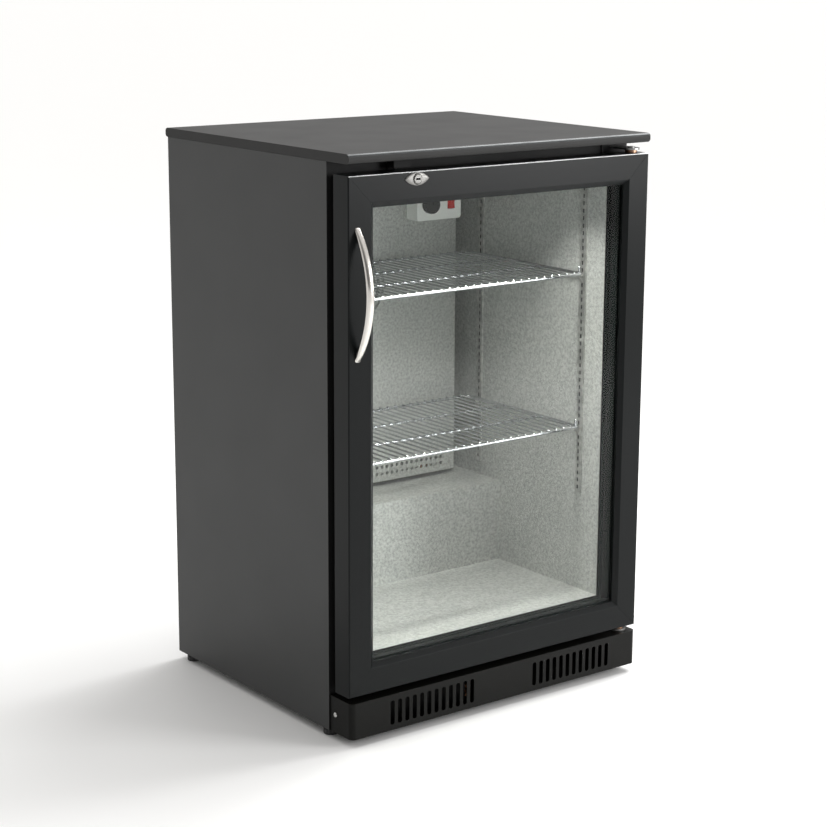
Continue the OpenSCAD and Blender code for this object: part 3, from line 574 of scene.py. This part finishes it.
def shelf(node):
    """Welded wire shelf: bent frame, cross wires with turned-down noses, posts and braces."""
    low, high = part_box(node)
    r, rod = 2.5 * MM, 1.5 * MM
    corner_bend, post_bend, nose_bend = 9 * MM, 3 * MM, 2.2 * MM
    brace_reach = 18 * MM
    pitch, side_gap = 16.5 * MM, 8 * MM
    frame_z = low.z + r
    wire_z = frame_z + r + rod / 2
    x0, x1 = low.x + r, high.x - r
    y0, y1 = low.y + r, high.y - r
    half = y0 + (y1 - y0) / 2
    bm = bmesh.new()
    for s, x in ((1, x0), (-1, x1)):
        front = [(0, y0, frame_z), (x, y0, frame_z), (x, half, frame_z)]
        rear = [(x, half, frame_z), (x, y1, frame_z), (0, y1, frame_z)]
        tube(bm, bent(front, corner_bend), r, 12)
        tube(bm, bent(rear, corner_bend), r, 12)
        post_x, post_y = x * 0.97, y0 + 0.4 * r
        foot = (post_x, y0 + 3 * r, frame_z + r)
        post = [foot, (post_x, post_y, frame_z + r), (post_x, post_y, high.z - r)]
        tube(bm, bent(post, post_bend), r, 12)
        brace = [Vector((x + s * d, half + d * 2.2, frame_z)) for d in (0, brace_reach / 2, brace_reach)]
        tube(bm, brace, r * 0.8, 10)
    for share in (0.33, 0.67):
        y = y0 + (y1 - y0) * share
        tube(bm, [Vector((x0, y, frame_z)), Vector((x1, y, frame_z))], r, 12)
    count = math.floor((x1 - side_gap) / pitch)
    for i in range(-count, count + 1):
        x = i * pitch
        wire = [(x, low.y + rod, frame_z - 1 * MM), (x, low.y + rod, wire_z), (x, y1 + rod, wire_z)]
        tube(bm, bent(wire, nose_bend, 4), rod, 8)
    return piece(node + "_wires", bm, MATERIALS["shelf_wire"], node)


def bow_handle():
    """Bow of soft rectangular section whose rounded tips meet the door."""
    low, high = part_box("door_handle")
    thick = 9 * MM
    tip = thick * 0.42
    face = high.y
    wide = high.x - low.x
    length = high.z - low.z
    sag = (face - low.y) - thick / 2
    radius = (length**2 / 4 + sag**2 - thick**2 / 4) / (2 * sag + thick)
    hub = Vector(((low.x + high.x) / 2, face - sag + radius, (low.z + high.z) / 2))
    reach = math.asin((length / 2 - tip) / radius)
    steps, sides = 56, 28

    def section(t, shrink=1.0, ahead=0.0):
        """The section at t, which runs from -1 to 1 along the bow, moved ahead to round off a tip."""
        angle = reach * t
        out = Vector((0, -math.cos(angle), math.sin(angle)))
        along = Vector((0, math.sin(angle), math.cos(angle)))
        slim = 1.0 - 0.1 * t * t
        ring = []
        for i in range(sides):
            u, v = soft_square(2 * math.pi * i / sides, wide / 2 * slim, thick / 2, 2.7)
            ring.append(hub + out * radius + along * ahead + (RIGHT * u + out * v) * shrink)
        return ring

    tip_shares = (0.3, 0.58, 0.8, 0.94)
    rings = [section(-1, math.sqrt(1 - share**2), -tip * share) for share in reversed(tip_shares)]
    rings += [section(-1 + 2 * k / steps) for k in range(steps + 1)]
    rings += [section(1, math.sqrt(1 - share**2), tip * share) for share in tip_shares]
    bm = bmesh.new()
    loft(bm, rings)
    for v in bm.verts:
        v.co.y = min(v.co.y, face)
    return piece("door_handle_bow", bm, MATERIALS["handle_nickel"], "door_handle")


def soft_square(angle, half_w, half_h, power):
    """A point of a rectangle with very round corners, at an angle round its middle."""
    c, s = math.cos(angle), math.sin(angle)
    u = math.copysign(abs(c) ** (2 / power), c) * half_w
    v = math.copysign(abs(s) ** (2 / power), s) * half_h
    return u, v


def pan_screws(node, material):
    """Pan heads with a cross recess, on the places of the CAD screws."""
    shank_reach = 3 * MM
    head = [(2.0, -7.0), (2.0, -1.8), (3.9, -1.8), (4.0, -1.3), (3.8, -0.7), (3.2, -0.25), (2.3, -0.05)]
    recess = [(1.9, -0.05), (1.1, -1.0)]
    sides = 24

    def cross(radius):
        return lambda turn: radius * (0.42 + 0.58 * abs(math.cos(2 * turn)) ** 3)

    bm = bmesh.new()
    for points in islands(node):
        low, high = extent(points)
        size = high - low
        middle = (low + high) / 2
        run = max(range(3), key=lambda i: size[i])
        wide = [p for p in points
                if (p - middle - axis_vector(run, (p - middle)[run])).length > shank_reach]
        head_at = sum(p[run] for p in wide) / len(wide)
        forward = head_at > middle[run]
        way = axis_vector(run, 1.0 if forward else -1.0)
        tip = Vector(middle)
        tip[run] = high[run] if forward else low[run]
        a = axis_vector((run + 1) % 3, 1.0)
        b = way.cross(a)
        rings = [circle(tip + way * h * MM, a, b, r * MM, sides) for r, h in head]
        rings += [circle(tip + way * h * MM, a, b, cross(r * MM), sides) for r, h in recess]
        loft(bm, rings)
    bmesh.ops.recalc_face_normals(bm, faces=bm.faces)
    return piece(node + "_heads", bm, material, node)


def door_seal():
    """Bellows gasket: a flat base, two folds and the magnet sleeve, mitred round the door."""
    low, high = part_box("door_gasket")
    drawn_depth = 15.7
    outline = [
        (0.0, 0.0), (13.0, 0.0), (13.0, 2.0), (10.0, 2.6), (12.6, 4.4), (13.6, 6.6),
        (11.2, 8.2), (13.4, 9.6), (13.8, 11.0), (13.8, 14.4), (12.8, 15.7), (2.2, 15.7),
        (0.6, 14.6), (0.2, 11.2), (1.0, 9.8), (4.0, 8.4), (0.8, 6.8), (1.6, 4.4), (4.2, 2.6), (0.0, 2.0),
    ]
    profile = [(u * MM, v / drawn_depth * (high.y - low.y)) for u, v in outline]
    corners = [
        (low.x, low.z, 1, 1),
        (high.x, low.z, -1, 1),
        (high.x, high.z, -1, -1),
        (low.x, high.z, 1, -1),
    ]
    rings = [[Vector((x + sx * u, low.y + v, z + sz * u)) for u, v in profile] for x, z, sx, sz in corners]
    bm = bmesh.new()
    loft(bm, rings, closed=True)
    tidy_normals(bm)
    return piece("door_seal", bm, MATERIALS["seal"], "door_gasket")


LOCK_BORE, LOCK_COLLAR, LOCK_GROOVE = 6.55 * MM, 7.7 * MM, 8.6 * MM


def lock_ring(radius, depth):
    """Points round the lock's axis, so many millimetres behind the front of the door."""
    low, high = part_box("lock_escutcheon")
    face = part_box("door_frame_top")[0].y
    centre = Vector(((low.x + high.x) / 2, face + depth * MM, (low.z + high.z) / 2))
    return circle(centre, RIGHT, UP, radius, 72)


def lock_plate():
    """Domed plate of pointed oval outline, with a groove round its collar and a sleeve behind."""
    low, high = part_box("lock_escutcheon")
    half_l, half_h = (high.x - low.x) / 2, (high.z - low.z) / 2
    arc_r = (half_l**2 + half_h**2) / (2 * half_h)
    drop = arc_r - half_h

    def dome(blend):
        """The pointed oval, blended towards the round groove."""
        def reach(turn):
            oval = math.sqrt(arc_r**2 - (drop * math.cos(turn)) ** 2) - drop * abs(math.sin(turn))
            return oval + (LOCK_GROOVE - oval) * blend
        return reach

    plate = [(0.0, 0.0), (0.0, -0.9), (0.05, -1.5), (0.2, -2.0), (0.55, -2.3), (1.0, -2.4)]
    sleeve_r = LOCK_BORE + 1.9 * MM
    sleeve_end = (high.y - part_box("door_frame_top")[0].y) / MM
    collar = [
        (LOCK_GROOVE - 0.3 * MM, -1.3), (LOCK_COLLAR, -1.3), (LOCK_COLLAR, -3.2),
        (LOCK_COLLAR - 0.4 * MM, -3.6), (LOCK_BORE + 0.5 * MM, -3.6), (LOCK_BORE, -3.1),
        (LOCK_BORE, sleeve_end), (sleeve_r, sleeve_end), (sleeve_r, 0.05),
    ]
    rings = [lock_ring(dome(blend), depth) for blend, depth in plate]
    rings += [lock_ring(radius, depth) for radius, depth in collar]
    bm = bmesh.new()
    loft(bm, rings, closed=True)
    tidy_normals(bm)
    return piece("lock_plate", bm, MATERIALS["lock_chrome"], "lock_escutcheon")


def lock_groove_shade_ring():
    """Dark ring in the groove between the lock's plate and its collar, as painted shade for the groove."""
    section = [(LOCK_COLLAR, -1.2), (LOCK_COLLAR, -1.9), (LOCK_GROOVE, -1.9), (LOCK_GROOVE, -1.2)]
    bm = bmesh.new()
    loft(bm, [lock_ring(radius, depth) for radius, depth in section], closed=True)
    bmesh.ops.recalc_face_normals(bm, faces=bm.faces)
    return piece("lock_groove_shade_ring", bm, MATERIALS["seal"], "lock_escutcheon")


def keyway_shade_block():
    """Dark block just inside the keyway, as painted shade for the keyway's depth."""
    half_w, half_h = 4.15 * MM, 1.45 * MM
    inset, depth = 0.3 * MM, 9 * MM
    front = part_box("lock_cylinder")[0].y
    low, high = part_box("lock_escutcheon")
    x, z = (low.x + high.x) / 2, (low.z + high.z) / 2
    bm = bmesh.new()
    block(bm, (x - half_w, front + inset, z - half_h), (x + half_w, front + depth, z + half_h), 0.1 * MM)
    return piece("keyway_shade_block", bm, MATERIALS["seal"], "lock_cylinder")


def pilaster_slot_shade(node):
    """Dark strip that closes the slots of each shelf strip from behind, as painted shade that keeps the slots
    black.
    """
    half_thick, inset, wall_gap = 0.2 * MM, 1.4 * MM, 0.5 * MM
    bm = bmesh.new()
    for points in islands(node):
        low, high = extent(points)
        x = high.x - wall_gap if low.x > 0 else low.x + wall_gap
        near = (x - half_thick, low.y + inset, low.z + inset)
        far = (x + half_thick, high.y - inset, high.z - inset)
        block(bm, near, far, 0.05 * MM)
    return piece(node + "_painted_slot_shade", bm, MATERIALS["rubber"], node)


def coil(node, fin_pitch, rows, tubes, pitch, base, fin, pipe):
    """Copper tubes that run to and fro through a pack of thin fins."""
    low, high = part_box(node)
    middle = (low + high) / 2
    size = high - low
    tube_r, fin_thick, fin_margin = 4 * MM, 0.5 * MM, 2 * MM
    x0, x1 = low.x + pitch / 2 + tube_r, high.x - pitch / 2 - tube_r
    fins = bmesh.new()
    x = x0 + fin_margin
    while x < x1 - fin_margin:
        for v in bmesh.ops.create_cube(fins, size=1.0)["verts"]:
            v.co = (x + v.co.x * fin_thick, middle.y + v.co.y * size.y, middle.z + v.co.z * size.z)
        x += fin_pitch
    piece(node + "_fins", fins, MATERIALS[fin], node)
    pipes = bmesh.new()
    for row in rows:
        y = middle.y + row
        path = []
        for i in range(tubes):
            side = 1 if i % 2 == 0 else -1
            z = low.z + base + i * pitch
            start, end = (x0, x1) if side > 0 else (x1, x0)
            path += [Vector((start, y, z)), Vector((end, y, z))]
            if i < tubes - 1:
                bend_z = z + pitch / 2
                turns = (math.pi * k / 8 for k in range(1, 8))
                path += [Vector((end + side * math.sin(a) * pitch / 2, y, bend_z - math.cos(a) * pitch / 2))
                         for a in turns]
        tube(pipes, path, tube_r, 12, domed=False)
    piece(node + "_tubes", pipes, MATERIALS[pipe], node)


def fan(node, run, ahead, hub_r, material):
    """Moulded fan that blows along one axis: a domed hub and swept blades with a curved section."""
    low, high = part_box(node)
    centre = (low + high) / 2
    thick = high[run] - low[run]
    out_r = min(high[i] - low[i] for i in range(3) if i != run) / 2
    blades, spans, chords = 5, 9, 8
    blade_width, skin = 0.62, 0.7 * MM
    way = axis_vector(run, ahead)
    across = way.cross(UP)

    def blade_ring(start, t):
        """The section of a blade at t, which runs from 0 at the hub to 1 at the tip."""
        r = hub_r * 0.9 + (out_r * 0.985 - hub_r * 0.9) * t
        half_turn = blade_width * (0.62 + 0.5 * t - 0.28 * t**3) / max(r, hub_r) * hub_r
        top, bottom = [], []
        for j in range(chords + 1):
            share = -1 + 2 * j / chords
            turn = start + 0.38 * t * t + share * half_turn
            lift = (share * (0.4 - 0.1 * t) + 0.1 * (1 - share * share)) * thick * 0.92
            at = centre + (UP * math.cos(turn) + across * math.sin(turn)) * r + way * lift
            edge = skin * math.sqrt(max(0.06, 1 - share**4))
            top.append(at + way * edge)
            bottom.append(at - way * edge)
        return top + bottom[::-1]

    bm = bmesh.new()
    hub = ((0.3, -0.42), (0.92, -0.42), (1.0, -0.36), (1.0, 0.2), (0.94, 0.32), (0.7, 0.42), (0.3, 0.46))
    loft(bm, [circle(centre + way * h * thick * 0.8, UP, across, hub_r * r, 48) for r, h in hub])
    for b in range(blades):
        start = 2 * math.pi * b / blades
        loft(bm, [blade_ring(start, i / spans) for i in range(spans + 1)])
    for vertex in bm.verts:
        for i in range(3):
            vertex.co[i] = min(max(vertex.co[i], low[i]), high[i])
    tidy_normals(bm)
    return piece(node + "_blades", bm, material, node)


def louvres():
    """Pressed hoods over the air slots of the rear cover, none of them over the cord gland."""
    low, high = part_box("rear_grille")
    columns, column_pitch, rows, rows_over_gland, row_pitch = 5, 100 * MM, 14, 4, 13 * MM
    first_x, first_z = low.x + 66 * MM, low.z + 25 * MM
    slot_w, tall, reach, sheet = 78 * MM, 7.5 * MM, 4.5 * MM, 0.9 * MM
    sunk = 0.05 * MM
    swell = [(0, 0.25), (0.8 * MM, 0.62), (2.4 * MM, 0.9), (5 * MM, 1)]
    swell += [(slot_w - x, share) for x, share in reversed(swell)]
    arc = [math.pi / 2 * k / 6 for k in range(7)]
    outer = [(math.sin(a) * reach, math.cos(a) * tall) for a in arc]
    inner = [(math.sin(a) * (reach - sheet), math.cos(a) * (tall - sheet)) for a in arc]
    section = outer + inner[::-1]
    bm = bmesh.new()
    for column in range(columns):
        for row in range(rows):
            if column == 0 and row < rows_over_gland:
                continue
            x0 = first_x + column * column_pitch
            z0 = first_z + row * row_pitch
            rings = []
            for x, share in swell:
                lift = 0.55 + 0.45 * share
                rings.append([Vector((x0 + x, high.y - sunk + y * share, z0 + z * lift)) for y, z in section])
            loft(bm, rings)
    tidy_normals(bm)
    return piece("rear_louvres", bm, MATERIALS["base"], "rear_grille")


def levelling_foot(node):
    """Moulded foot with finger grooves round its rim, a hexagon above it and a threaded stud."""
    low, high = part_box(node)
    middle = (low + high) / 2
    base_r = (high.x - low.x) / 2
    groove, grooves = 0.9 * MM, 12
    forward = Vector((0, 1, 0))

    def ring(reach, z):
        return circle(Vector((middle.x, middle.y, low.z + z * MM)), RIGHT, forward, reach, 96)

    def grooved(turn):
        return base_r - groove * (0.5 + 0.5 * math.cos(grooves * turn)) ** 3

    def hexagon(radius):
        return lambda turn: radius * math.cos(math.pi / 6) / math.cos(turn % (math.pi / 3) - math.pi / 6)

    pad = bmesh.new()
    loft(pad, [
        ring(base_r - 1 * MM, 0), ring(base_r - 0.3 * MM, 0.3), ring(base_r, 1.0), ring(grooved, 2.2),
        ring(grooved, 7.4), ring(base_r - 0.3 * MM, 8.4), ring(base_r - 1.2 * MM, 9.0),
        ring(hexagon(7.6 * MM), 9.1), ring(hexagon(7.6 * MM), 12.8), ring(hexagon(7.0 * MM), 13.4),
    ])
    tidy_normals(pad, 35)
    piece(node + "_pad", pad, MATERIALS["black"], node)
    thread_start, thread_pitch = 13.2, 1.2
    top = (high.z - low.z) / MM
    rings = []
    z = thread_start
    while z < top - thread_pitch:
        rings += [ring(3.95 * MM, z), ring(3.4 * MM, z + thread_pitch / 2)]
        z += thread_pitch
    rings.append(ring(3.2 * MM, top))
    stud = bmesh.new()
    loft(stud, rings)
    tidy_normals(stud, 70)
    return piece(node + "_stud", stud, MATERIALS["zinc"], node)


# The model --------------------------------------------------------------------


bpy.context.scene.view_settings.view_transform = "Standard"
make_camera()
make_world()
make_lights()
make_floor()

MATERIALS = {
    "side": powder_coat("side_steel", (0.024, 0.025, 0.025), (0.04, 0.041, 0.041), 0.46),
    # Near-black coat for the front rails, lock strike, side panel folds and hinge leg: partly black paint,
    # partly painted shade for the gap behind the door.
    "front": powder_coat("black_and_shade_steel", (0.008, 0.008, 0.008), (0.012, 0.012, 0.012), 0.55, ior=1.25),
    "lid": powder_coat("lid_steel", (0.024, 0.024, 0.024), (0.05, 0.05, 0.048), 0.5, 700.0, 1.22),
    "back": powder_coat("back_steel", (0.06, 0.063, 0.066), (0.08, 0.084, 0.088), 0.5),
    "base": powder_coat("base_steel", (0.003, 0.003, 0.0025), (0.006, 0.006, 0.005), 0.4, ior=1.22),
    "profile_x": anodised("profile_black_x", (0.003, 0.0038, 0.004), 0),
    "profile_z": anodised("profile_black_z", (0.003, 0.0038, 0.004), 2),
    "spacer": moulded("spacer_black", (0.004, 0.0065, 0.006), 0.5, 300.0, 1.2),
    "seal": moulded("seal_black", (0.003, 0.005, 0.0045), 0.7, 300.0, 1.15),
    "liner": stucco("liner_stucco", (0.56, 0.57, 0.55), 0.42),
    "zinc": spangle("zinc", (0.6, 0.6, 0.58), 0.38),
    "hinge": spangle("hinge_zinc", (0.42, 0.42, 0.41), 0.42),
    "cast": metal("cast_alloy", (0.55, 0.56, 0.57), 0.5),
    "fin": metal("fin_foil", (0.74, 0.75, 0.76), 0.34),
    "bronze": metal("bush_bronze", (0.42, 0.25, 0.17), 0.34),
    # Bright metal on the top rail's upper front edge: a painted highlight.
    "painted_edge_highlight": metal("painted_highlight_metal", (0.5, 0.51, 0.51), 0.35, 0, 0.3),
    # Dark metal on the lid's nose and the kick plate's top edge: a painted sheen line.
    "painted_edge_sheen": metal("painted_edge_sheen", (0.06, 0.062, 0.063), 0.35, 0, 0.3),
    "copper": metal("copper_tube", (0.72, 0.36, 0.2), 0.28),
    "dull_copper": metal("dull_copper_tube", (0.42, 0.23, 0.14), 0.32),
    "black_fin": metal("black_fin_foil", (0.02, 0.02, 0.02), 0.5),
    "white": moulded("white_plastic", (0.78, 0.79, 0.77), 0.42),
    "black": moulded("black_plastic", (0.018, 0.018, 0.019), 0.45),
    "red": moulded("red_plastic", (0.5, 0.025, 0.02), 0.28),
    "rubber": moulded("rubber_black", (0.014, 0.014, 0.015), 0.55, 900.0),
    "motor": metal("motor_iron", (0.36, 0.38, 0.39), 0.42),
    "enamel": powder_coat("black_enamel", (0.012, 0.012, 0.014), (0.02, 0.02, 0.022), 0.24),
    "foam": foam("foam", (0.7, 0.6, 0.34)),
    "glass": clear_glass("door_pane", (0.978, 0.985, 0.981)),
    "handle_nickel": metal("handle_nickel", (0.66, 0.635, 0.6), 0.17, 2, 0.2),
    "lock_chrome": metal("lock_satin", (0.2, 0.197, 0.19), 0.42, 0, 0.15),
    "shelf_wire": metal("shelf_plating", (0.5, 0.51, 0.53), 0.2, None, 0.15),
    "lens": glow("lamp_diffuser", (0.95, 0.97, 0.95), 3.0),
}

REFINED = {
    "side": ("left_side_panel", "right_side_panel"),
    "front": ("front_rails", "lock_strike"),
    "back": ("back_panel",),
    "lid": ("top_panel",),
    "base": ("kick_plate", "base_plate", "rear_grille", "condenser_fan_shroud"),
    "zinc": ("bottom_panel", "left_pilasters", "right_pilasters", "shelf_clips"),
    "hinge": ("top_hinge_plate", "bottom_hinge_plate"),
    "liner": ("inner_liner", "evaporator_cover"),
    "profile_x": ("door_frame_top", "door_frame_bottom"),
    "profile_z": ("door_frame_left", "door_frame_right"),
    "spacer": ("glass_spacer",),
    "glass": ("outer_glass", "inner_glass"),
    "cast": ("door_corner_keys",),
    "copper": ("filter_drier", "refrigerant_lines"),
    "bronze": ("hinge_bushes",),
    "white": ("lamp_housing", "control_box", "drain_tube"),
    "black": ("cord_gland", "relay_box", "rear_spacers", "evaporation_tray", "thermostat_knob"),
    "red": ("light_switch",),
    "motor": ("evaporator_fan_motor", "condenser_fan_motor"),
    "enamel": ("compressor",),
    "rubber": ("compressor_mounts",),
    "lock_chrome": ("lock_cylinder",),
    "lens": ("lamp_lens",),
    "foam": ("insulation",),
}
USUAL_EDGE = 0.35
EDGES = {
    "top_panel": 0.8,
    "left_side_panel": 0.6,
    "right_side_panel": 0.6,
    "kick_plate": 0.5,
    "inner_liner": 0.4,
    "outer_glass": 0.3,
    "inner_glass": 0.3,
    "lock_cylinder": 0.25,
}

for key, nodes in REFINED.items():
    for node in nodes:
        refine(node, MATERIALS[key], EDGES.get(node, USUAL_EDGE))

# Painted shade: the side panels' front folds and the hinge's upright leg take the near-black front coat,
# where the gap behind the door shades them. Painted highlights: the upper front edges of the door's top rail,
# the lid and the kick plate take shinier metal.
NOSE_DEPTH = 9 * MM
TAB_DEPTH = 15 * MM
fold_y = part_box("front_rails")[1].y
# Painted shade: the folds of the side panels take the near-black front coat.
for node in ("left_side_panel", "right_side_panel"):
    paint_faces(node, MATERIALS["front"], lambda p: abs(p.normal.x) < 0.9 and p.center.y < fold_y)
# Painted highlight and painted sheen: shinier metal on the upper front edges of the top rail, lid and kick
# plate.
for node, key in (("door_frame_top", "painted_edge_highlight"), ("top_panel", "painted_edge_sheen"), ("kick_plate", "painted_edge_sheen")):
    nose_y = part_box(node)[0].y + NOSE_DEPTH
    paint_faces(
        node, MATERIALS[key], lambda p: p.normal.y < -0.2 and p.normal.z > 0.25 and p.center.y < nose_y
    )
# Painted shade: the recessed front face of the hinge's upright leg takes the near-black front coat.
leg_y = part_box("top_hinge_plate")[0].y + TAB_DEPTH
paint_faces("top_hinge_plate", MATERIALS["front"], lambda p: p.normal.y < -0.9 and p.center.y > leg_y)

shelf("upper_shelf")
shelf("lower_shelf")
bow_handle()
pan_screws("panel_screws", MATERIALS["zinc"])
pan_screws("handle_screws", MATERIALS["zinc"])
door_seal()
lock_plate()
lock_groove_shade_ring()
keyway_shade_block()
louvres()
fan("evaporator_fan", 1, -1, 16 * MM, MATERIALS["black"])
fan("condenser_fan", 0, 1, 18 * MM, MATERIALS["white"])
for corner in ("front_left", "front_right", "rear_left", "rear_right"):
    levelling_foot(corner + "_foot")
pilaster_slot_shade("left_pilasters")
pilaster_slot_shade("right_pilasters")
# The condenser's black fins are partly a black coat and partly painted shade for the space behind the kick
# plate.
coil("condenser_coil", 3.2 * MM, (-10 * MM, 10 * MM), 3, 17 * MM, 8 * MM, "black_fin", "dull_copper")
coil("evaporator_coil", 6 * MM, (0.0,), 8, 25 * MM, 12 * MM, "fin", "copper")
